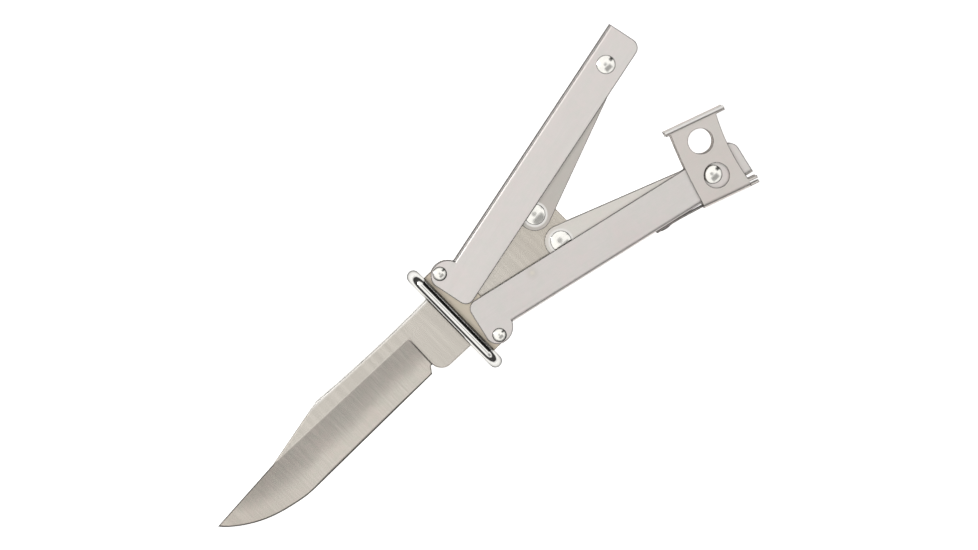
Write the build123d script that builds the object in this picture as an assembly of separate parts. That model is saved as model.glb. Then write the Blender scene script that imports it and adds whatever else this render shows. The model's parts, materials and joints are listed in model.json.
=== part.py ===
from build123d import *
from math import cos, radians, sin
import os

# A scissor-handled knife lying on its side, in millimetres.
# Design frame: +X from the blade's tip towards the handles' free ends, +Y towards handle A, +Z up through
# the thickness of the knife, origin midway between the two handle pivots. Everything is shifted at the end
# so that the row's origin is under the middle of the knife, at the height of its lowest point.

# Driving dimensions
PIVOT_Y = 12.8  # half the distance between the handle pivots
HANDLE_OPEN = 12.3  # degrees that each handle stands open at rest
KEEPER_SWING = 6.7  # degrees that the keeper hangs off square at rest
GAP = 0.1  # clearance between moving flat faces

# Blade and tang
BLADE_HALF = 1.2  # half thickness
TANG_HALF_WIDTH = 9.35
TANG_END_X = 38.4
TANG_PIVOT_X = 32.785
TANG_PIVOT_Y = 5.6
BLADE_TILT = 1.36  # degrees that the blade's axis leans from the tang's, tip towards handle A's side
SPINE_REAR_Y = 10.2  # height of the spine at the guard
SPINE_MIDDLE = (-32.0, 9.5)
SPINE_KINK = (-53.1, 10.05)
SPINE_ROUND = 0.6  # rounding of the spine's long edges
CLIP_LOW = (-76.0, 4.8)
TIP = (-100.5, 2.5)
EDGE_FRONT = (-71.0, -8.95)
EDGE_REAR = (-22.4, -7.75)
CHOIL = (-20.4, -5.7)
RICASSO_START_X = -17.0
GRIND_Y = 4.85  # height of the bevel's upper line
GRIND_CORNER = 1.2  # radius where that line turns down at the plunge
EDGE_HALF = 0.15  # half thickness left at the cutting edge
HOLLOW = 0.24  # how far the bevel is hollow in the middle
BELLY_STATIONS = 10  # sections that carry the bevel round the belly

# Guard and bracket
GUARD_FRONT_X = -8.3
GUARD_REAR_X = -4.3
GUARD_HALF_WIDTH = 19.5
GUARD_HALF_HEIGHT = 8.0
GUARD_CORNER = 5.5  # radius of the guard's corners, seen along the knife
GUARD_ROUND = 1.9
SLOT_HALF_WIDTH = 10.7
SLOT_HALF_HEIGHT = 1.35
BRACKET_REAR_X = 4.2
BRACKET_HALF_WIDTH = 15.0
BRACKET_INNER = 1.4
BRACKET_OUTER = 2.9
BRACKET_OPENING = 10.7  # half width of the opening that the tang slides in
BRACKET_CORNER = 1.6

# Handles, measured along from their pivot and outward from it
SHEET = 0.8
CHEEK_INNER = 3.0
CHEEK_OUTER = CHEEK_INNER + SHEET
SPINE_OUT = -1.3  # outer face of the spine
HANDLE_DEPTH = 11.4
HANDLE_END = 90.3
NOTCH_X = 5.4
FRONT_X = -3.7
FRONT_ROUND = 2.7
END_ROUND = 3.0
EAR_TOP = (0.9, 2.5)
CHANNEL_FOLD = 0.65  # radius of the folds, to the middle of the sheet
END_PIVOT = (79.6, -7.0)

# Links
LINK_LENGTH = 49.6
LINK_INNER = BLADE_HALF + GAP
LINK_OUTER = 2.2
LINK_TANG_ROUND = 4.9
LINK_END_ROUND = 4.6
EYE_TRAVEL = (2.2, 0.5)  # play of the open pivot, along the link and across it
EYE_SLOT = 2.15  # half width of the slotted eye

# Fasteners
RUNNING = 0.05
PIN_SHANK = 1.2
PIN_HEAD = 2.15
PIN_HEAD_TALL = 0.7
TANG_SHANK = 1.6
TANG_HEAD = 3.15
TANG_HEAD_TALL = 0.6
END_SHANK = 1.5
END_HEAD = 2.85
END_HEAD_TALL = 0.72
HEAD_RIM = 0.25  # straight rim below each dome
WASHER_OUTER = 2.9
LEAF_SHANK = 0.9
LEAF_HEAD = 1.6
LEAF_HEAD_TALL = 0.45

# Keeper, a folded clip on handle B, in that handle's along and outward sizes
KEEPER_PIVOT = (72.8, 0.0)
KEEPER_HALF = 5.05  # from the middle plane to the middle of the clip's sheet
KEEPER_SPINE_OUT = 0.4
KEEPER_FOLD = 0.9
KEEPER_HOLE = 3.8
KEEPER_HOLE_PITCH = 11.3
KEEPER_LIP_Y = -24.9  # middle of the lips' sheet
KEEPER_LIP_RISE = 2.3  # how far the lips stand out square to the plates
KEEPER_FRONT_X = 72.2
KEEPER_REAR_X = 87.7
KEEPER_BOW_FRONT = 0.35
KEEPER_BOW_REAR = 0.9
LIP_FRONT_X = 70.8
LIP_REAR_X = 90.2
TAB_END_X = 90.5
TAB_HALF = 3.2

# Keeper's leaf on the back of handle B
LEAF_START_X = 56.2
LEAF_FLAT_END_X = 62.0
LEAF_END_X = 72.0
LEAF_LIFT = 0.55
LEAF_SHEET = 0.6
LEAF_HALF = 2.9
LEAF_RIVET_X = 59.2


def slab(sketch, low, high):
    """A plate cut to the sketch, between two heights."""
    return extrude(Pos(0, 0, low) * sketch, high - low)


def disc(radius, low, high, x=0.0, y=0.0):
    """An upright round bar between two heights."""
    return Pos(x, y, (low + high) / 2) * Cylinder(radius, high - low)


def both_sides(solid):
    """The solid and its reflection through the middle plane, front first."""
    return solid, mirror(solid, about=Plane.XY)


def domed_head(radius, tall, low, x=0.0, y=0.0):
    """A round rivet head that stands up from the height low, a cap of a sphere on a short rim."""
    cap = tall - HEAD_RIM
    sphere = (radius**2 + cap**2) / (2 * cap)
    return disc(radius, low, low + tall, x, y) & (Pos(x, y, low + tall - sphere) * Sphere(sphere))


def corner(start, centre, end):
    """A quarter-round corner from start to end about the centre."""
    radius = Vector(start).sub(Vector(centre))
    outward = radius + Vector(end).sub(Vector(centre))
    middle = Vector(centre) + outward.normalized() * radius.length
    return ThreePointArc(start, middle, end)


def four_ways(front_a):
    """A front piece of side A and its likenesses at the back and on side B."""
    return {
        "a_front": front_a,
        "a_back": mirror(front_a, about=Plane.XY),
        "b_front": mirror(front_a, about=Plane.XZ),
        "b_back": Rot(180, 0, 0) * front_a,
    }


def through_rivet(shank, head, tall, seat, x, y):
    """A rivet right through the knife, with a domed head on each side above the height seat."""
    body = disc(shank, -seat, seat, x, y)
    for side in both_sides(domed_head(head, tall, seat, x, y)):
        body += side
    return body


def on_handle_a(solid):
    """Places a solid from handle A's own frame, whose origin is its pivot."""
    return Pos(0, PIVOT_Y, 0) * Rot(0, 0, HANDLE_OPEN) * solid


def on_handle_b(solid):
    """Places a solid on handle B, which is handle A's mirror image."""
    return mirror(on_handle_a(solid), about=Plane.XZ)


# Blade with its tang, one plate


def belly():
    """The curved part of the cutting edge, from the tip to where the edge runs straight."""
    return Spline(
        TIP,
        (-96.5, -1.15),
        (-91.5, -4.25),
        (-85.5, -6.7),
        (-78.0, -8.4),
        EDGE_FRONT,
        tangents=[(0.62, -0.78), (1.0, 0.021)],
    )


def blade_outline():
    """The blade as far back as the guard, seen from the front side."""
    rear_x = GUARD_REAR_X
    choil_front = Line(EDGE_REAR, (CHOIL[0] - 0.6, CHOIL[1]))
    choil_top = Line((CHOIL[0] - 0.6, CHOIL[1]), CHOIL)
    ricasso_corner = ThreePointArc(CHOIL, (-19.2, -8.2), (RICASSO_START_X, -TANG_HALF_WIDTH))
    rear = Polyline(
        (RICASSO_START_X, -TANG_HALF_WIDTH),
        (rear_x, -TANG_HALF_WIDTH),
        (rear_x, SPINE_REAR_Y),
    )
    spine = Spline((rear_x, SPINE_REAR_Y), SPINE_MIDDLE, SPINE_KINK)
    clip = Polyline(SPINE_KINK, CLIP_LOW, TIP)
    edge = Line(EDGE_FRONT, EDGE_REAR)
    return make_face(
        belly() + edge + choil_front + choil_top + ricasso_corner + rear + spine + clip
    )


def ground_away(x, edge_y, grind_y):
    """What grinding removes above the upper face at one station: hollow between edge and grind line."""
    middle_z = (BLADE_HALF + EDGE_HALF) / 2 - HOLLOW
    top = BLADE_HALF + 2.0
    hollow = ThreePointArc(
        (grind_y, BLADE_HALF), ((grind_y + edge_y) / 2, middle_z), (edge_y, EDGE_HALF)
    )
    over = Polyline(
        (edge_y, EDGE_HALF),
        (edge_y - 4.0, EDGE_HALF),
        (edge_y - 4.0, top),
        (grind_y, top),
        (grind_y, BLADE_HALF),
    )
    return Pos(x, 0, 0) * (Plane.YZ * make_face(hollow + over))


def bevel_cutters():
    """The grinding of the upper face, along the straight edge and round the belly to the tip."""
    straight = loft(
        [
            ground_away(EDGE_FRONT[0], EDGE_FRONT[1], GRIND_Y),
            ground_away(CHOIL[0], EDGE_REAR[1], GRIND_Y),
        ]
    )
    long_side = 2 * (CHOIL[0] - EDGE_FRONT[0])
    window = Pos(CHOIL[0] - long_side / 2, GRIND_Y - long_side / 2)
    window *= RectangleRounded(long_side, long_side, GRIND_CORNER)
    curve = belly()
    width = GRIND_Y - EDGE_FRONT[1]
    stations = [curve @ (step / BELLY_STATIONS) for step in range(BELLY_STATIONS + 1)]
    past_tip = stations[0] - (stations[1] - stations[0])
    round_tip = loft(
        [ground_away(point.X, point.Y, point.Y + width) for point in [past_tip] + stations]
    )
    return straight & slab(window, 0, 2 * BLADE_HALF), round_tip


def make_blade():
    """The ground blade, tilted on the plain tang that it runs into at the guard."""
    plate = slab(blade_outline(), -BLADE_HALF, BLADE_HALF)
    long_edges = plate.edges().filter_by(lambda edge: abs(edge.center().Z) > BLADE_HALF / 2)
    plate = fillet(long_edges.filter_by(GeomType.BSPLINE).group_by(Axis.Y)[-1], SPINE_ROUND)
    for cutter in bevel_cutters():
        for side in both_sides(cutter):
            plate -= side
    tang = Pos((GUARD_REAR_X - 1.0 + TANG_END_X) / 2, 0, 0)
    tang *= Box(TANG_END_X - GUARD_REAR_X + 1.0, 2 * TANG_HALF_WIDTH, 2 * BLADE_HALF)
    blade = Rot(0, 0, -BLADE_TILT) * plate + tang
    for side in (1, -1):
        blade -= disc(TANG_SHANK, -5, 5, TANG_PIVOT_X, side * TANG_PIVOT_Y)
    return blade


# Guard and the bracket brazed behind it


def make_guard():
    oval = RectangleRounded(2 * GUARD_HALF_WIDTH, 2 * GUARD_HALF_HEIGHT, GUARD_CORNER)
    plate = extrude(Plane.YZ * oval, GUARD_REAR_X - GUARD_FRONT_X)
    plate = Pos(GUARD_FRONT_X, 0, 0) * plate
    plate = fillet(plate.edges(), GUARD_ROUND)
    slot = Rectangle(2 * SLOT_HALF_WIDTH, 2 * SLOT_HALF_HEIGHT)
    return plate - extrude(Plane.YZ * slot, 20.0, both=True)


def make_bracket():
    length = BRACKET_REAR_X - GUARD_REAR_X
    block = Box(length, 2 * BRACKET_HALF_WIDTH, 2 * BRACKET_OUTER)
    block = Pos((BRACKET_REAR_X + GUARD_REAR_X) / 2, 0, 0) * block
    rear_corners = block.edges().filter_by(Axis.Z).group_by(Axis.X)[-1]
    block = fillet(rear_corners, BRACKET_CORNER)
    block -= Box(40.0, 2 * BRACKET_OPENING, 2 * BRACKET_INNER)
    for side in (1, -1):
        block -= disc(PIN_SHANK, -5, 5, 0, side * PIVOT_Y)
    return block


# Handles


def handle_outline():
    inner_y = SPINE_OUT - HANDLE_DEPTH
    front = Line((FRONT_X, inner_y + FRONT_ROUND), (FRONT_X, -0.6))
    ear_front = ThreePointArc((FRONT_X, -0.6), (-2.35, 1.65), EAR_TOP)
    ear_rear = ThreePointArc(EAR_TOP, (3.9, 1.15), (NOTCH_X, SPINE_OUT))
    spine = Line((NOTCH_X, SPINE_OUT), (HANDLE_END, SPINE_OUT))
    end = Line((HANDLE_END, SPINE_OUT), (HANDLE_END, inner_y + END_ROUND))
    end_corner = corner(
        (HANDLE_END, inner_y + END_ROUND),
        (HANDLE_END - END_ROUND, inner_y + END_ROUND),
        (HANDLE_END - END_ROUND, inner_y),
    )
    inner = Line((HANDLE_END - END_ROUND, inner_y), (FRONT_X + FRONT_ROUND, inner_y))
    front_corner = corner(
        (FRONT_X + FRONT_ROUND, inner_y),
        (FRONT_X + FRONT_ROUND, inner_y + FRONT_ROUND),
        (FRONT_X, inner_y + FRONT_ROUND),
    )
    return make_face(
        front + ear_front + ear_rear + spine + end + end_corner + inner + front_corner
    )


def make_handle():
    """A folded channel, open towards the knife's middle, with a flat ear on each cheek."""
    outline = handle_outline()
    cheek_z = (CHEEK_INNER + CHEEK_OUTER) / 2
    spine_y = SPINE_OUT - SHEET / 2
    open_y = SPINE_OUT - HANDLE_DEPTH - 1.0
    fold = FilletPolyline(
        (open_y, cheek_z),
        (spine_y, cheek_z),
        (spine_y, -cheek_z),
        (open_y, -cheek_z),
        radius=CHANNEL_FOLD,
    )
    section = Plane.YZ * trace(fold, SHEET)
    channel = Pos(NOTCH_X, 0, 0) * extrude(section, HANDLE_END - NOTCH_X, dir=(1, 0, 0))
    channel &= slab(outline, -CHEEK_OUTER, CHEEK_OUTER)
    front = Pos(NOTCH_X - 10.0, 0) * Rectangle(20.0, 40.0)
    for ear in both_sides(slab(outline & front, CHEEK_INNER, CHEEK_OUTER)):
        channel += ear
    channel -= disc(PIN_SHANK + RUNNING, -5, 5)
    return channel - disc(END_SHANK, -5, 5, *END_PIVOT)


def make_end_rivet():
    """A stub rivet through one cheek that ends level with the link's inner face."""
    shank = disc(END_SHANK, LINK_INNER, CHEEK_OUTER, *END_PIVOT)
    return shank + domed_head(END_HEAD, END_HEAD_TALL, CHEEK_OUTER, *END_PIVOT)


def make_washer():
    low = LINK_OUTER + RUNNING
    ring = disc(WASHER_OUTER, low, CHEEK_INNER - RUNNING, *END_PIVOT)
    return ring - disc(END_SHANK, 0, 5, *END_PIVOT)


# Links


def link_angle():
    """Angle that the links make with the knife's axis when the handles stand at rest."""
    turn = radians(HANDLE_OPEN)
    end_y = PIVOT_Y + END_PIVOT[0] * sin(turn) + END_PIVOT[1] * cos(turn)
    end_x = END_PIVOT[0] * cos(turn) - END_PIVOT[1] * sin(turn)
    run = Vector(end_x - TANG_PIVOT_X, end_y - TANG_PIVOT_Y)
    return run.get_signed_angle(Vector(1, 0, 0), Vector(0, 0, -1))


def make_link():
    """A flat link from a tang rivet to an end rivet, with a slotted far eye."""
    tang_end = disc(LINK_TANG_ROUND, LINK_INNER, LINK_OUTER)
    far_end = disc(LINK_END_ROUND, LINK_INNER, LINK_OUTER, LINK_LENGTH)
    shank = Polyline(
        (0, LINK_TANG_ROUND),
        (LINK_LENGTH, LINK_END_ROUND),
        (LINK_LENGTH, -LINK_END_ROUND),
        (0, -LINK_TANG_ROUND),
        close=True,
    )
    link = tang_end + far_end + slab(make_face(shank), LINK_INNER, LINK_OUTER)
    slot = SlotCenterPoint((0, 0), (EYE_TRAVEL[0] / 2, EYE_TRAVEL[1] / 2), 2 * EYE_SLOT)
    slot = Pos(LINK_LENGTH + EYE_TRAVEL[0] / 2, EYE_TRAVEL[1] / 2) * slot
    link -= slab(slot, 0, 5)
    link -= disc(TANG_SHANK + RUNNING, 0, 5)
    return Pos(TANG_PIVOT_X, TANG_PIVOT_Y, 0) * Rot(0, 0, link_angle()) * link


# Keeper clip and its leaf


def keeper_section():
    """The clip's bent sheet seen along the handle: lip, plate, spine, plate, lip."""
    spine_y = KEEPER_SPINE_OUT - SHEET / 2
    tip_z = KEEPER_HALF + KEEPER_LIP_RISE
    middle = FilletPolyline(
        (KEEPER_LIP_Y, tip_z),
        (KEEPER_LIP_Y, KEEPER_HALF),
        (spine_y, KEEPER_HALF),
        (spine_y, -KEEPER_HALF),
        (KEEPER_LIP_Y, -KEEPER_HALF),
        (KEEPER_LIP_Y, -tip_z),
        radius=KEEPER_FOLD,
    )
    return Plane.YZ * trace(middle, SHEET)


def keeper_outline():
    """The clip's shape seen from the front: wide lips, bowed plate edges and a tab behind."""
    top = KEEPER_LIP_Y + 1.2
    bottom = KEEPER_SPINE_OUT - 2.4
    lips = Pos((LIP_FRONT_X + LIP_REAR_X) / 2, top - 2.5)
    lips *= Rectangle(LIP_REAR_X - LIP_FRONT_X, 5.0)
    middle_y = (top + bottom) / 2
    front = ThreePointArc(
        (KEEPER_FRONT_X, top),
        (KEEPER_FRONT_X - KEEPER_BOW_FRONT, middle_y),
        (KEEPER_FRONT_X, bottom),
    )
    rear = ThreePointArc(
        (KEEPER_REAR_X, bottom),
        (KEEPER_REAR_X - 0.2 - KEEPER_BOW_REAR, middle_y),
        (KEEPER_REAR_X - 0.4, top),
    )
    low = Polyline(
        (KEEPER_FRONT_X, bottom),
        (KEEPER_FRONT_X, 1.0),
        (TAB_END_X, 1.0),
        (TAB_END_X, bottom),
        (KEEPER_REAR_X, bottom),
    )
    return make_face(front + low + rear + Line(rear @ 1, front @ 0)) + lips


def make_keeper():
    section = Pos(LIP_FRONT_X - 1.0, 0, 0) * keeper_section()
    clip = extrude(section, LIP_REAR_X - LIP_FRONT_X + 2.0, dir=(1, 0, 0))
    clip &= slab(keeper_outline(), -10.0, 10.0)
    for side in (1, -1):
        beside = Pos(KEEPER_REAR_X + 5.0, KEEPER_SPINE_OUT, side * (TAB_HALF + 5.0))
        clip -= beside * Box(10.0, 3.0, 10.0)
    for step in (0, 1):
        hole_y = END_PIVOT[1] - step * KEEPER_HOLE_PITCH
        clip -= disc(KEEPER_HOLE, -10, 10, END_PIVOT[0], hole_y)
    swing = Pos(*KEEPER_PIVOT) * Rot(0, 0, KEEPER_SWING) * Pos(-KEEPER_PIVOT[0], -KEEPER_PIVOT[1])
    return swing * clip


def make_leaf():
    """A spring strip flat on the handle's back at its rivet, lifting towards the clip."""
    low_y = SPINE_OUT
    flat_end = (LEAF_FLAT_END_X, low_y + LEAF_SHEET / 2)
    middle = Line((LEAF_START_X, low_y + LEAF_SHEET / 2), flat_end)
    lift = Spline(
        flat_end,
        (LEAF_END_X, low_y + LEAF_SHEET / 2 + LEAF_LIFT),
        tangents=[(1, 0), (1, 0.06)],
    )
    strip = slab(trace(middle + lift, LEAF_SHEET), -LEAF_HALF, LEAF_HALF)
    return strip - Pos(LEAF_RIVET_X, 0, 0) * Rot(90, 0, 0) * Cylinder(LEAF_SHANK, 10)


def make_leaf_rivet():
    """Holds the leaf to the handle's back, head outward, tail inside the channel."""
    low = SPINE_OUT - SHEET
    high = SPINE_OUT + LEAF_SHEET
    rivet = disc(LEAF_SHANK, low, high)
    rivet += domed_head(LEAF_HEAD, LEAF_HEAD_TALL, high)
    return Pos(LEAF_RIVET_X, 0, 0) * Rot(-90, 0, 0) * rivet


def leaf_rivet_hole():
    return Pos(LEAF_RIVET_X, SPINE_OUT, 0) * Rot(90, 0, 0) * Cylinder(LEAF_SHANK, 4)


def all_parts():
    """Every piece by node name, in the design frame."""
    parts = {"blade": make_blade(), "guard": make_guard(), "guard_bracket": make_bracket()}
    pin_seat = CHEEK_OUTER + RUNNING
    tang_seat = LINK_OUTER + RUNNING
    for side, letter in ((1, "a"), (-1, "b")):
        parts[f"pivot_pin_{letter}"] = through_rivet(
            PIN_SHANK, PIN_HEAD, PIN_HEAD_TALL, pin_seat, 0, side * PIVOT_Y
        )
        parts[f"tang_rivet_{letter}"] = through_rivet(
            TANG_SHANK, TANG_HEAD, TANG_HEAD_TALL, tang_seat, TANG_PIVOT_X, side * TANG_PIVOT_Y
        )
    channel = make_handle()
    parts["handle_a"] = on_handle_a(channel)
    parts["handle_b"] = on_handle_b(channel - leaf_rivet_hole())
    fourfold = {
        "end_rivet": on_handle_a(make_end_rivet()),
        "spacer_washer": on_handle_a(make_washer()),
        "link": make_link(),
    }
    for name, solid in fourfold.items():
        for place, piece in four_ways(solid).items():
            parts[f"{name}_{place}"] = piece
    parts["keeper_clip"] = on_handle_b(make_keeper())
    parts["keeper_leaf"] = on_handle_b(make_leaf())
    parts["leaf_rivet"] = on_handle_b(make_leaf_rivet())
    return parts


parts = all_parts()
boxes = [part.bounding_box() for part in parts.values()]
low = [min(tuple(box.min)[axis] for box in boxes) for axis in range(3)]
high = [max(tuple(box.max)[axis] for box in boxes) for axis in range(3)]
to_row = Pos(-(low[0] + high[0]) / 2, -(low[1] + high[1]) / 2, -low[2])
os.makedirs("parts", exist_ok=True)
for node, part in parts.items():
    export_step(to_row * part, f"parts/{node}.step")
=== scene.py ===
import json
from math import cos, pi, radians, sin

import bpy
from mathutils import Matrix, Vector


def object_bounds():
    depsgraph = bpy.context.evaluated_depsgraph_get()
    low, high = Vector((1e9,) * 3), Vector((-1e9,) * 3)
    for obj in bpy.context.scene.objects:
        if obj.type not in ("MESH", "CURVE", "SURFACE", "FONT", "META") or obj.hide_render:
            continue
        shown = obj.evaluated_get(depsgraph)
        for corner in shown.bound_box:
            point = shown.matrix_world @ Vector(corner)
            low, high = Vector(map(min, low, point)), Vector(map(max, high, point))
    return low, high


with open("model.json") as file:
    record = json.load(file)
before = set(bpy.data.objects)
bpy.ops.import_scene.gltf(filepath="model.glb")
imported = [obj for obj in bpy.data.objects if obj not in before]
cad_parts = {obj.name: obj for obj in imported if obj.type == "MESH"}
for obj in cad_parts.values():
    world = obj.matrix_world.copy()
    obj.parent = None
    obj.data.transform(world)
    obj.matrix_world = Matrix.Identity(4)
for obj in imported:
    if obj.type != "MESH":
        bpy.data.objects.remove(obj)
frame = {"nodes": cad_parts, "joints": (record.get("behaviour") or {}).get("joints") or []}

cad_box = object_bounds()

# Lengths are in metres, in the row frame: +X from the blade's tip to the handles' free ends,
# +Y towards handle A, +Z up. "From the pivots" means from midway between the handle pivots.

# Places that come from the model
JOINTS = {joint["name"]: joint for joint in frame["joints"]}
PIVOT_A = Vector(JOINTS["handle_a_spread"]["pos_m"])
PIVOT_B = Vector(JOINTS["handle_b_spread"]["pos_m"])
MIDDLE = (PIVOT_A + PIVOT_B) / 2

# View: down on the knife, its tip towards the lower left
KNIFE_TURN = radians(44.3)  # how far the knife's axis stands above the picture's horizontal
VIEW_WIDTH = 0.2929  # across the picture at the knife
VIEW_LEAN = radians(2.6)  # how far the camera leans towards handle A's side
VIEW_OFFSET = Vector((0.0103, 0.0021, 0.0))  # from the pivots to the middle of the picture
CAMERA_HEIGHT = 2.4
SENSOR = 36.0  # millimetres

# Floor and key light
FLOOR_SIZE = 6.0
FLOOR_WHITE = (0.95, 0.95, 0.95, 1.0)
FLOOR_ROUGHNESS = 0.9
FLOOR_GLOW = 0.75
KEY_PLACE = Vector((-0.25, 0.45, 0.9))
KEY_SIZE = 0.12
KEY_POWER = 2.0

# Light tent: brightness by the sine of the height above the horizon
TENT = (
    (0.0, 0.9),
    (0.17, 0.8),
    (0.26, 0.04),
    (0.75, 0.05),
    (0.84, 1.0),
    (0.9930, 1.0),
    (0.9940, 0.15),
    (0.9955, 0.15),
    (0.9965, 0.5),
    (1.0, 0.45),
)
TENT_STRENGTH = 1.33

# Two dark cards in the tent, each between two directions along X and two along Y.
# soft is how wide their edges are, and left is how much light comes through.
EDGE_CARD = {"X": (-0.22, 0.22), "Y": (-0.42, -0.20), "soft": 0.08, "left": 0.35}
REAR_CARD = {"X": (0.42, 1.10), "Y": (-0.08, 0.08), "soft": 0.05, "left": 0.05}

# All steels
EDGE_TINT = (0.15, 0.15, 0.15, 1.0)  # tint of a glancing reflection
EDGE_SHADE = 0.06  # brightness of the painted shade against the steel's face
EDGE_NORMALS = (0.999, 0.965)  # how alike the true and rounded normals are, from clean to full painted shade
BEVEL_SAMPLES = 6
BAND = (0.3, 0.7)  # the part of a noise's range that is used

# Brushed steels: features per metre, and contrast
LINE_LENGTH = 40.0  # how many times longer the brush lines are than they are wide
LINE_CONTRAST = 0.035  # how far the brush lines go either side of the colour, at grain 1
LINE_STRENGTH = 0.10
LINE_DEPTH = 0.00002
BROAD = (40.0, 900.0, 900.0)  # wide streaks in the roughness
BROAD_CONTRAST = 0.12
CLOUD = 130.0  # pinkish clouds
CLOUD_BAND = (0.35, 0.7)
CLOUD_AMOUNT = 0.8
CLOUD_TINT = (1.035, 0.985, 0.99)
SPECK = 480.0  # greenish specks
SPECK_BAND = (0.42, 0.66)
SPECK_AMOUNT = 0.6
SPECK_TINT = (0.955, 0.99, 0.965)

# Polished steels
WAVE = 380.0
WAVE_SHADE = 0.93
WAVE_STRENGTH = 0.12
WAVE_DEPTH = 0.00008
HAIR = (400.0, 9000.0, 9000.0)
HAIR_TURN = 0.6
HAIR_ROUGHNESS = (0.7, 1.4)

# Blade
BLADE_TILT = radians(1.36)  # how far the blade leans from the tang
BLADE_MIDDLE_Z = 0.008  # height of the blade's middle plane
# Painted shade on the tang, where it lies shadowed between the handles
TANG_SHADE = (0.91, 0.895, 0.87, 1.0)
TANG_SHADE_X = (0.010, 0.030)  # from the pivots, where the painted shade starts and is complete
# Painted shade towards the blade's tip
TIP_SHADE = (0.80, 0.79, 0.78, 1.0)
TIP_SHADE_X = (-0.066, -0.096)
SPINE_Y = (0.0086, 0.0096)  # from the blade's axis, where the painted highlight starts and is complete
# colour of the painted highlight along the spine
SPINE_HIGHLIGHT = (0.86, 0.84, 0.80, 1.0)
FLATS_Y = (0.0048, 0.0049)  # from the blade's axis, where the ground bevel ends and the flat starts
RICASSO_X = (-0.0203, -0.0190)  # from the pivots, where the bevel ends and the ricasso starts
FLATS_CALM = 0.85  # how much of the flats' brush lines is gone
FLATS_PALE = 1.08  # brightness of the flats against the bevel
EDGE_THIN = (0.000153, 0.000161)  # half thicknesses, where the cutting edge's painted shade is full and where it is gone
EDGE_DARK = 0.85

# Handles, links and keeper
WELD_PLACE = Vector((0.0200, -0.0063, 0.0))  # from the pivots
WELD_RADIUS = 0.0009
# The weld dot's light and shade are painted: a painted highlight in its middle, a painted shade rim
# around it
WELD_SHADE = (0.55, 0.52, 0.47, 1.0)
WELD_SHADE_BAND = (1.0, 2.6)  # radii where the painted shade rim is strongest and gone, in weld radii
WELD_SHADE_AMOUNT = 0.45
WELD_HIGHLIGHT = (0.70, 0.66, 0.58, 1.0)
WELD_HIGHLIGHT_BAND = (0.1, 1.1)
WELD_HIGHLIGHT_AMOUNT = 0.8
RING_INNER = (0.0030, 0.0031)  # radii between which the ring around a tang rivet starts
RING_OUTER = (0.0036, 0.0040)  # and between which it ends
# Pale colour of the ring around a tang rivet, and of the painted highlight on the keeper's lip
PALE_RING_AND_LIP = (0.80, 0.78, 0.75, 1.0)
FOLD_LOW = (0.04, 0.12)  # slopes of handle A's folds, between which the painted shade starts
FOLD_HIGH = (0.50, 0.66)  # and between which it ends
LIP_TOP = (0.0147, 0.0150)  # heights where the painted highlight on the keeper's lip starts and is full

# Directions of the brushed grain, about Z, in each piece
HANDLE_GRAIN = radians(12.3)
KEEPER_GRAIN = radians(-12.3 - 6.7)
LINK_GRAIN = radians(20.4)
ACROSS = pi / 2

# Colours
STEEL_A = (0.69, 0.655, 0.63)
STEEL_B = (0.665, 0.632, 0.608)
BLADE = (0.69, 0.645, 0.58)
KEEPER = (0.64, 0.60, 0.565)
# The two links are one steel: link A's darker copy is painted shade, link B's paler copy is painted
# light
LINK_A = (0.52, 0.493, 0.457)
LINK_B = (0.69, 0.657, 0.613)
BRACKET = (0.56, 0.50, 0.41)
GUARD = (0.74, 0.73, 0.70)
RIVET = (0.78, 0.765, 0.72)


# Node trees


def shaded(color, amount):
    """The colour made lighter or darker, with its alpha."""
    return tuple(min(1.0, part * amount) for part in color) + (1.0,)


def tinted(color, tint):
    """The colour times the tint, with its alpha."""
    return tuple(part * amount for part, amount in zip(color, tint)) + (1.0,)


def add_node(tree, kind, inputs=None, **settings):
    """A node with its settings, and its inputs either linked or set."""
    node = tree.nodes.new(kind)
    for key, value in settings.items():
        setattr(node, key, value)
    for key, value in (inputs or {}).items():
        if isinstance(value, bpy.types.NodeSocket):
            tree.links.new(value, node.inputs[key])
        else:
            node.inputs[key].default_value = value
    return node


def add_math(tree, operation, first, second=0.0):
    inputs = {0: first, 1: second}
    return add_node(tree, "ShaderNodeMath", inputs, operation=operation).outputs[0]


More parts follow.
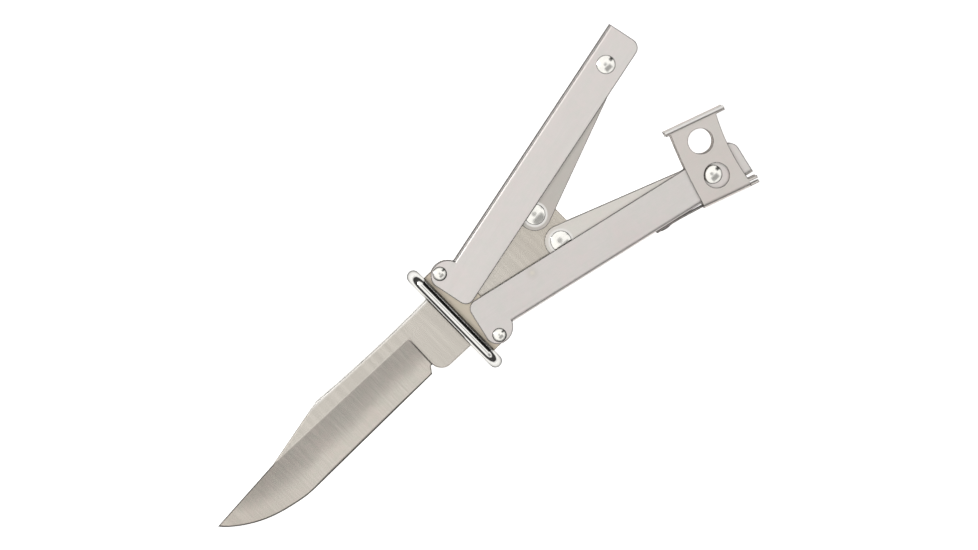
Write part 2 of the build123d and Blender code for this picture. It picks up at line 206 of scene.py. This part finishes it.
class Nodes:
    """Short calls for building one material's node tree."""

    def __init__(self, name):
        self.material = bpy.data.materials.new(name)
        self.material.use_nodes = True
        self.tree = self.material.node_tree
        self.shader = self.tree.nodes["Principled BSDF"]
        self.place = self.tree.nodes.new("ShaderNodeTexCoord").outputs["Object"]

    def new(self, kind, inputs=None, **settings):
        return add_node(self.tree, kind, inputs, **settings)

    def math(self, operation, first, second=0.0):
        return add_math(self.tree, operation, first, second)

    def vector(self, operation, first, second=(0.0, 0.0, 0.0), output="Vector"):
        inputs = {0: first, 1: second}
        return self.new("ShaderNodeVectorMath", inputs, operation=operation).outputs[output]

    def part(self, vector, axis):
        return self.new("ShaderNodeSeparateXYZ", {0: vector}).outputs[axis]

    def geometry(self, output):
        return self.new("ShaderNodeNewGeometry").outputs[output]

    def noise(self, scale, stretch=(1.0, 1.0, 1.0), turn=0.0, detail=3.0, rough=0.55):
        """Noise whose grain runs along X turned by turn about Z; scale is features per metre."""
        back = {"Vector": self.place, "Rotation": (0, 0, -turn)}
        unturned = self.new("ShaderNodeMapping", back).outputs[0]
        scaling = {"Vector": unturned, "Scale": stretch}
        stretched = self.new("ShaderNodeMapping", scaling).outputs[0]
        inputs = {"Vector": stretched, "Scale": scale, "Detail": detail, "Roughness": rough}
        return self.new("ShaderNodeTexNoise", inputs).outputs["Fac"]

    def spread(self, value, low, high, band=BAND):
        """The value, from the band's start to its end, spread from low to high."""
        inputs = {
            "Value": value,
            "From Min": band[0],
            "From Max": band[1],
            "To Min": low,
            "To Max": high,
        }
        return self.new("ShaderNodeMapRange", inputs).outputs["Result"]

    def mix(self, factor, first, second, blend="MIX"):
        inputs = {0: factor, 6: first, 7: second}
        return self.new("ShaderNodeMix", inputs, data_type="RGBA", blend_type=blend).outputs[2]

    def connect(self, value, socket):
        self.tree.links.new(value, self.shader.inputs[socket])

    def source(self, socket):
        """What a shader input is linked to so far, or None."""
        links = self.shader.inputs[socket].links
        return links[0].from_socket if links else None

    def recolor(self, amount, color):
        """Mixes the colour over the base colour so far."""
        self.connect(self.mix(amount, self.source("Base Color"), color), "Base Color")

    def darken(self, amount, color):
        """Painted shade: where amount is 1 the surface is matt and dark, and where it is 0 it is
        bare steel.
        """
        self.recolor(amount, shaded(color, EDGE_SHADE))
        bare = self.spread(amount, 1.0, 0.0, (0.0, 1.0))
        before = self.source("Metallic")
        if before:
            bare = self.math("MULTIPLY", bare, before)
        self.connect(bare, "Metallic")

    def set(self, **values):
        for key, value in values.items():
            self.shader.inputs[key.replace("_", " ")].default_value = value


# Steels


def finish_steel(nodes, color, height, strength, depth, edge_round):
    """Relief on edges that look rounded by edge_round, and a painted shade line along those edges.
    """
    rounding = {"Radius": edge_round}
    rounded = nodes.new("ShaderNodeBevel", rounding, samples=BEVEL_SAMPLES).outputs["Normal"]
    relief = {"Height": height, "Strength": strength, "Distance": depth, "Normal": rounded}
    nodes.connect(nodes.new("ShaderNodeBump", relief).outputs["Normal"], "Normal")
    nodes.set(Metallic=1.0, Specular_Tint=EDGE_TINT, Specular_IOR_Level=0.0)
    # Painted shade: a dark matt line where the rounded normal turns from the true one, standing in
    # for edge shadows and dark edge reflections
    alike = nodes.vector("DOT_PRODUCT", rounded, nodes.geometry("True Normal"), output="Value")
    nodes.darken(nodes.spread(alike, 0.0, 1.0, EDGE_NORMALS), color)


def brushed_steel(
    name, color, roughness, turn=0.0, grain=1.0, fine=5200.0, edge_round=0.00035, depth=1.0
):
    """Satin stainless sheet: brush lines along one direction, mottled face, painted shade along cut
    edges.

    fine is brush lines per metre. They go on down a slope for longer where depth is below 1.
    """
    nodes = Nodes(name)
    stretch = (fine / LINE_LENGTH, fine, fine * depth)
    lines = nodes.noise(1.0, stretch, turn, detail=4.0, rough=0.7)
    dark_line = shaded(color, 1.0 - LINE_CONTRAST * grain)
    pale_line = shaded(color, 1.0 + LINE_CONTRAST * grain)
    streaked = nodes.mix(nodes.spread(lines, 0.0, 1.0), dark_line, pale_line)
    cloud = nodes.spread(nodes.noise(CLOUD, detail=4.0, rough=0.6), 0.0, CLOUD_AMOUNT, CLOUD_BAND)
    clouded = nodes.mix(cloud, streaked, tinted(color, CLOUD_TINT))
    speck = nodes.spread(nodes.noise(SPECK, detail=3.0, rough=0.6), 0.0, SPECK_AMOUNT, SPECK_BAND)
    nodes.connect(nodes.mix(speck, clouded, tinted(color, SPECK_TINT)), "Base Color")
    broad = nodes.noise(1.0, BROAD, turn, detail=2.0)
    smooth, rough = roughness * (1.0 - BROAD_CONTRAST), roughness * (1.0 + BROAD_CONTRAST)
    nodes.connect(nodes.spread(broad, smooth, rough), "Roughness")
    finish_steel(nodes, color, lines, LINE_STRENGTH, LINE_DEPTH, edge_round)
    return nodes


def polished_steel(name, color, roughness, ripple=1.0, edge_round=0.0003):
    """Polished stainless: almost a mirror, with faint ripples and fine hairline scratches."""
    nodes = Nodes(name)
    wave = nodes.noise(WAVE, detail=2.0)
    rippled = nodes.mix(nodes.spread(wave, 0.0, 1.0), shaded(color, WAVE_SHADE), shaded(color, 1.0))
    nodes.connect(rippled, "Base Color")
    hair = nodes.noise(1.0, HAIR, HAIR_TURN, detail=2.0)
    smooth, rough = (roughness * amount for amount in HAIR_ROUGHNESS)
    nodes.connect(nodes.spread(hair, smooth, rough), "Roughness")
    finish_steel(nodes, color, wave, WAVE_STRENGTH * ripple, WAVE_DEPTH, edge_round)
    return nodes


# Marks on the steels


def local_to(node, place):
    """A place in the row frame, given in the CAD node's own coordinates."""
    return frame["nodes"][node].matrix_world.inverted() @ place


def local_band(node, band, axis):
    """Two places along X from the pivots, or two heights, in the CAD node's own coordinates."""
    if axis == "X":
        return [local_to(node, MIDDLE + Vector((place, 0.0, 0.0))).x for place in band]
    return [local_to(node, Vector((0.0, 0.0, height))).z for height in band]


def paint_shade_along(nodes, places, shade):
    """Painted shade: the blade takes the shade from the first place along the knife to the second.
    """
    along = nodes.part(nodes.place, "X")
    beyond = nodes.spread(along, 0.0, 1.0, local_band("blade", places, "X"))
    clean = nodes.source("Base Color")
    nodes.recolor(beyond, nodes.mix(1.0, clean, shade, "MULTIPLY"))


def above_axis(nodes, band, amount):
    """From 0 to amount over the band of heights above the blade's leaning axis."""
    turned = {"Vector": nodes.place, "Rotation": (0.0, 0.0, BLADE_TILT)}
    height = nodes.part(nodes.new("ShaderNodeMapping", turned).outputs[0], "Y")
    axis = local_to("blade", MIDDLE).y
    return nodes.spread(height, 0.0, amount, (axis + band[0], axis + band[1]))


def calm_flats(nodes):
    """The blade's flats are paler than its ground bevel, and show its brush lines less."""
    above = above_axis(nodes, FLATS_Y, FLATS_CALM)
    along = nodes.part(nodes.place, "X")
    behind = nodes.spread(along, 0.0, FLATS_CALM, local_band("blade", RICASSO_X, "X"))
    nodes.recolor(nodes.math("MAXIMUM", above, behind), shaded(BLADE, FLATS_PALE))


def darken_cutting_edge(nodes):
    """Painted shade: the honed strip along the cutting edge is painted dark, standing in for its
    dark reflection.
    """
    middle = local_to("blade", Vector((0.0, 0.0, BLADE_MIDDLE_Z))).z
    above = nodes.math("SUBTRACT", nodes.part(nodes.place, "Z"), middle)
    thickness = nodes.math("ABSOLUTE", above)
    nodes.darken(nodes.spread(thickness, EDGE_DARK, 0.0, EDGE_THIN), BLADE)


def lighten_spine(nodes):
    """Painted highlight: along the blade's spine the rounded corner is painted pale, in place of
    the painted shade line of a cut edge.
    """
    nodes.recolor(above_axis(nodes, SPINE_Y, 1.0), SPINE_HIGHLIGHT)


def darken_folds(nodes):
    """Painted shade: the outer half of a channel's folds is painted dark, standing in for the dark
    ground they reflect.
    """
    slope = nodes.math("ABSOLUTE", nodes.part(nodes.geometry("Normal"), "Z"))
    off_wall = nodes.spread(slope, 0.0, 1.0, FOLD_LOW)
    off_cheek = nodes.spread(slope, 1.0, 0.0, FOLD_HIGH)
    nodes.darken(nodes.math("MULTIPLY", off_wall, off_cheek), STEEL_A)


def lighten_lip(nodes):
    """Painted highlight: the top of the keeper's lip is painted bright."""
    height = nodes.part(nodes.place, "Z")
    nodes.recolor(nodes.spread(height, 0.0, 1.0, local_band("keeper_clip", LIP_TOP, "Z")), PALE_RING_AND_LIP)


def distance_from(nodes, node, place):
    """How far a point is from the upright line through a place in the row frame."""
    away = nodes.vector("SUBTRACT", nodes.place, local_to(node, place))
    flat = nodes.vector("MULTIPLY", away, (1.0, 1.0, 0.0))
    return nodes.vector("LENGTH", flat, output="Value")


def painted_weld_dot(nodes, node, place):
    """A small dot where a spot weld shows through the cheek: a pale painted highlight with a soft
    painted shade rim, standing in for the light on its bump.
    """
    distance = nodes.math("DIVIDE", distance_from(nodes, node, place), WELD_RADIUS)
    nodes.recolor(nodes.spread(distance, WELD_SHADE_AMOUNT, 0.0, WELD_SHADE_BAND), WELD_SHADE)
    nodes.recolor(nodes.spread(distance, WELD_HIGHLIGHT_AMOUNT, 0.0, WELD_HIGHLIGHT_BAND), WELD_HIGHLIGHT)


def pale_ring(nodes, node, place):
    """A pale ring around a tang rivet."""
    distance = distance_from(nodes, node, place)
    inside = nodes.spread(distance, 1.0, 0.0, RING_OUTER)
    beyond = nodes.spread(distance, 0.0, 1.0, RING_INNER)
    nodes.recolor(nodes.math("MULTIPLY", inside, beyond), PALE_RING_AND_LIP)


def give(nodes, *names):
    """The named CAD nodes get the material."""
    for name in names:
        mesh = frame["nodes"][name].data
        mesh.materials.clear()
        mesh.materials.append(nodes.material)


def nodes_named(start):
    return [name for name in frame["nodes"] if name.startswith(start)]


def finish_handles():
    handle_a = brushed_steel("handle_a_steel", STEEL_A, 0.34, HANDLE_GRAIN, edge_round=0.0005)
    darken_folds(handle_a)
    give(handle_a, "handle_a")
    handle_b = brushed_steel("handle_b_steel", STEEL_B, 0.34, -HANDLE_GRAIN, edge_round=0.0005)
    painted_weld_dot(handle_b, "handle_b", MIDDLE + WELD_PLACE)
    give(handle_b, "handle_b")


def finish_keeper():
    keeper = brushed_steel("keeper_steel", KEEPER, 0.32, KEEPER_GRAIN)
    lighten_lip(keeper)
    give(keeper, "keeper_clip")
    # The leaf's wide edge_round widens its painted shade edge line, standing in for the shadow in
    # the gap beside its handle
    leaf = brushed_steel("leaf_steel", KEEPER, 0.32, -HANDLE_GRAIN, edge_round=0.0009)
    give(leaf, "keeper_leaf")


def finish_links():
    for link, color, grain in (("link_a", LINK_A, LINK_GRAIN), ("link_b", LINK_B, -LINK_GRAIN)):
        steel = brushed_steel(link + "_steel", color, 0.33, grain)
        pale_ring(steel, link + "_front", Vector(JOINTS[link + "_turn"]["pos_m"]))
        give(steel, *nodes_named(link))


def finish_blade():
    steel = brushed_steel(
        "blade_steel", BLADE, 0.2, ACROSS, grain=2.5, fine=1900.0, edge_round=0.0007, depth=0.05
    )
    calm_flats(steel)
    darken_cutting_edge(steel)
    paint_shade_along(steel, TANG_SHADE_X, TANG_SHADE)
    paint_shade_along(steel, TIP_SHADE_X, TIP_SHADE)
    lighten_spine(steel)
    give(steel, "blade")


def finish_small_pieces():
    give(brushed_steel("bracket_steel", BRACKET, 0.38, ACROSS), "guard_bracket")
    give(brushed_steel("washer_steel", STEEL_A, 0.4), *nodes_named("spacer_washer"))
    give(polished_steel("guard_polish", GUARD, 0.06, edge_round=0.0001), "guard")
    rivets = nodes_named("end_rivet") + nodes_named("tang_rivet") + nodes_named("pivot_pin")
    polish = polished_steel("rivet_polish", RIVET, 0.13, ripple=3.0, edge_round=0.0004)
    give(polish, "leaf_rivet", *rivets)


# Floor, light and camera


def make_floor():
    bpy.ops.mesh.primitive_plane_add(size=FLOOR_SIZE, location=(0, 0, cad_box[0][2]))
    floor = bpy.context.object
    floor.name = "floor"
    nodes = Nodes("floor_white")
    nodes.set(Base_Color=FLOOR_WHITE, Roughness=FLOOR_ROUGHNESS)
    nodes.set(Emission_Color=(1.0, 1.0, 1.0, 1.0), Emission_Strength=FLOOR_GLOW)
    floor.data.materials.append(nodes.material)


def make_key():
    """A small soft light that shines on the origin."""
    light = bpy.data.lights.new("key", "AREA")
    light.shape = "RECTANGLE"
    light.size = KEY_SIZE
    light.size_y = KEY_SIZE
    light.energy = KEY_POWER
    lamp = bpy.data.objects.new("key", light)
    lamp.location = KEY_PLACE
    lamp.rotation_euler = (-KEY_PLACE).to_track_quat("-Z", "Y").to_euler()
    bpy.context.scene.collection.objects.link(lamp)


def card_shadow(tree, direction, card):
    """How much light is left in each direction: 1 away from the card, its "left" behind it."""
    covered = 1.0 - card["left"]
    for axis in ("X", "Y"):
        low, high = card[axis]
        for edge, inside in ((low, 1.0), (high, -1.0)):
            ends = {
                "Value": direction.outputs[axis],
                "From Min": edge - inside * card["soft"],
                "From Max": edge,
            }
            ramp = add_node(tree, "ShaderNodeMapRange", ends, interpolation_type="SMOOTHSTEP")
            covered = add_math(tree, "MULTIPLY", covered, ramp.outputs["Result"])
    return add_math(tree, "SUBTRACT", 1.0, covered)


def make_world():
    """A light tent: a bright ceiling above a dark band, pale walls and two dark cards.

    The lens looks in through a small hole at the top.
    """
    world = bpy.data.worlds.new("tent")
    world.use_nodes = True
    bpy.context.scene.world = world
    tree = world.node_tree
    generated = tree.nodes.new("ShaderNodeTexCoord").outputs["Generated"]
    direction = add_node(tree, "ShaderNodeSeparateXYZ", {0: generated})
    height = add_node(tree, "ShaderNodeValToRGB", {0: direction.outputs["Z"]})
    elements = height.color_ramp.elements
    while len(elements) < len(TENT):
        elements.new(0.5)
    for element, (place, value) in zip(elements, TENT):
        element.position = place
        element.color = (value, value, value, 1.0)
    light = height.outputs[0]
    for card in (EDGE_CARD, REAR_CARD):
        product = {0: light, 1: card_shadow(tree, direction, card)}
        light = add_node(tree, "ShaderNodeVectorMath", product, operation="MULTIPLY").outputs[0]
    background = tree.nodes["Background"].inputs
    tree.links.new(light, background["Color"])
    background["Strength"].default_value = TENT_STRENGTH


def make_camera():
    data = bpy.data.cameras.new("camera")
    data.sensor_width = SENSOR
    data.lens = SENSOR * CAMERA_HEIGHT / VIEW_WIDTH
    camera = bpy.data.objects.new("camera", data)
    lean = Matrix.Rotation(-VIEW_LEAN, 3, "X")
    right = lean @ Vector((cos(KNIFE_TURN), -sin(KNIFE_TURN), 0.0))
    up = lean @ Vector((sin(KNIFE_TURN), cos(KNIFE_TURN), 0.0))
    out = right.cross(up)
    place = Matrix.Translation(MIDDLE + VIEW_OFFSET + out * CAMERA_HEIGHT)
    camera.matrix_world = place @ Matrix((right, up, out)).transposed().to_4x4()
    bpy.context.scene.collection.objects.link(camera)
    bpy.context.scene.camera = camera


finish_handles()
finish_keeper()
finish_links()
finish_blade()
finish_small_pieces()
make_floor()
make_world()
make_key()
make_camera()
bpy.context.scene.view_settings.view_transform = "Standard"
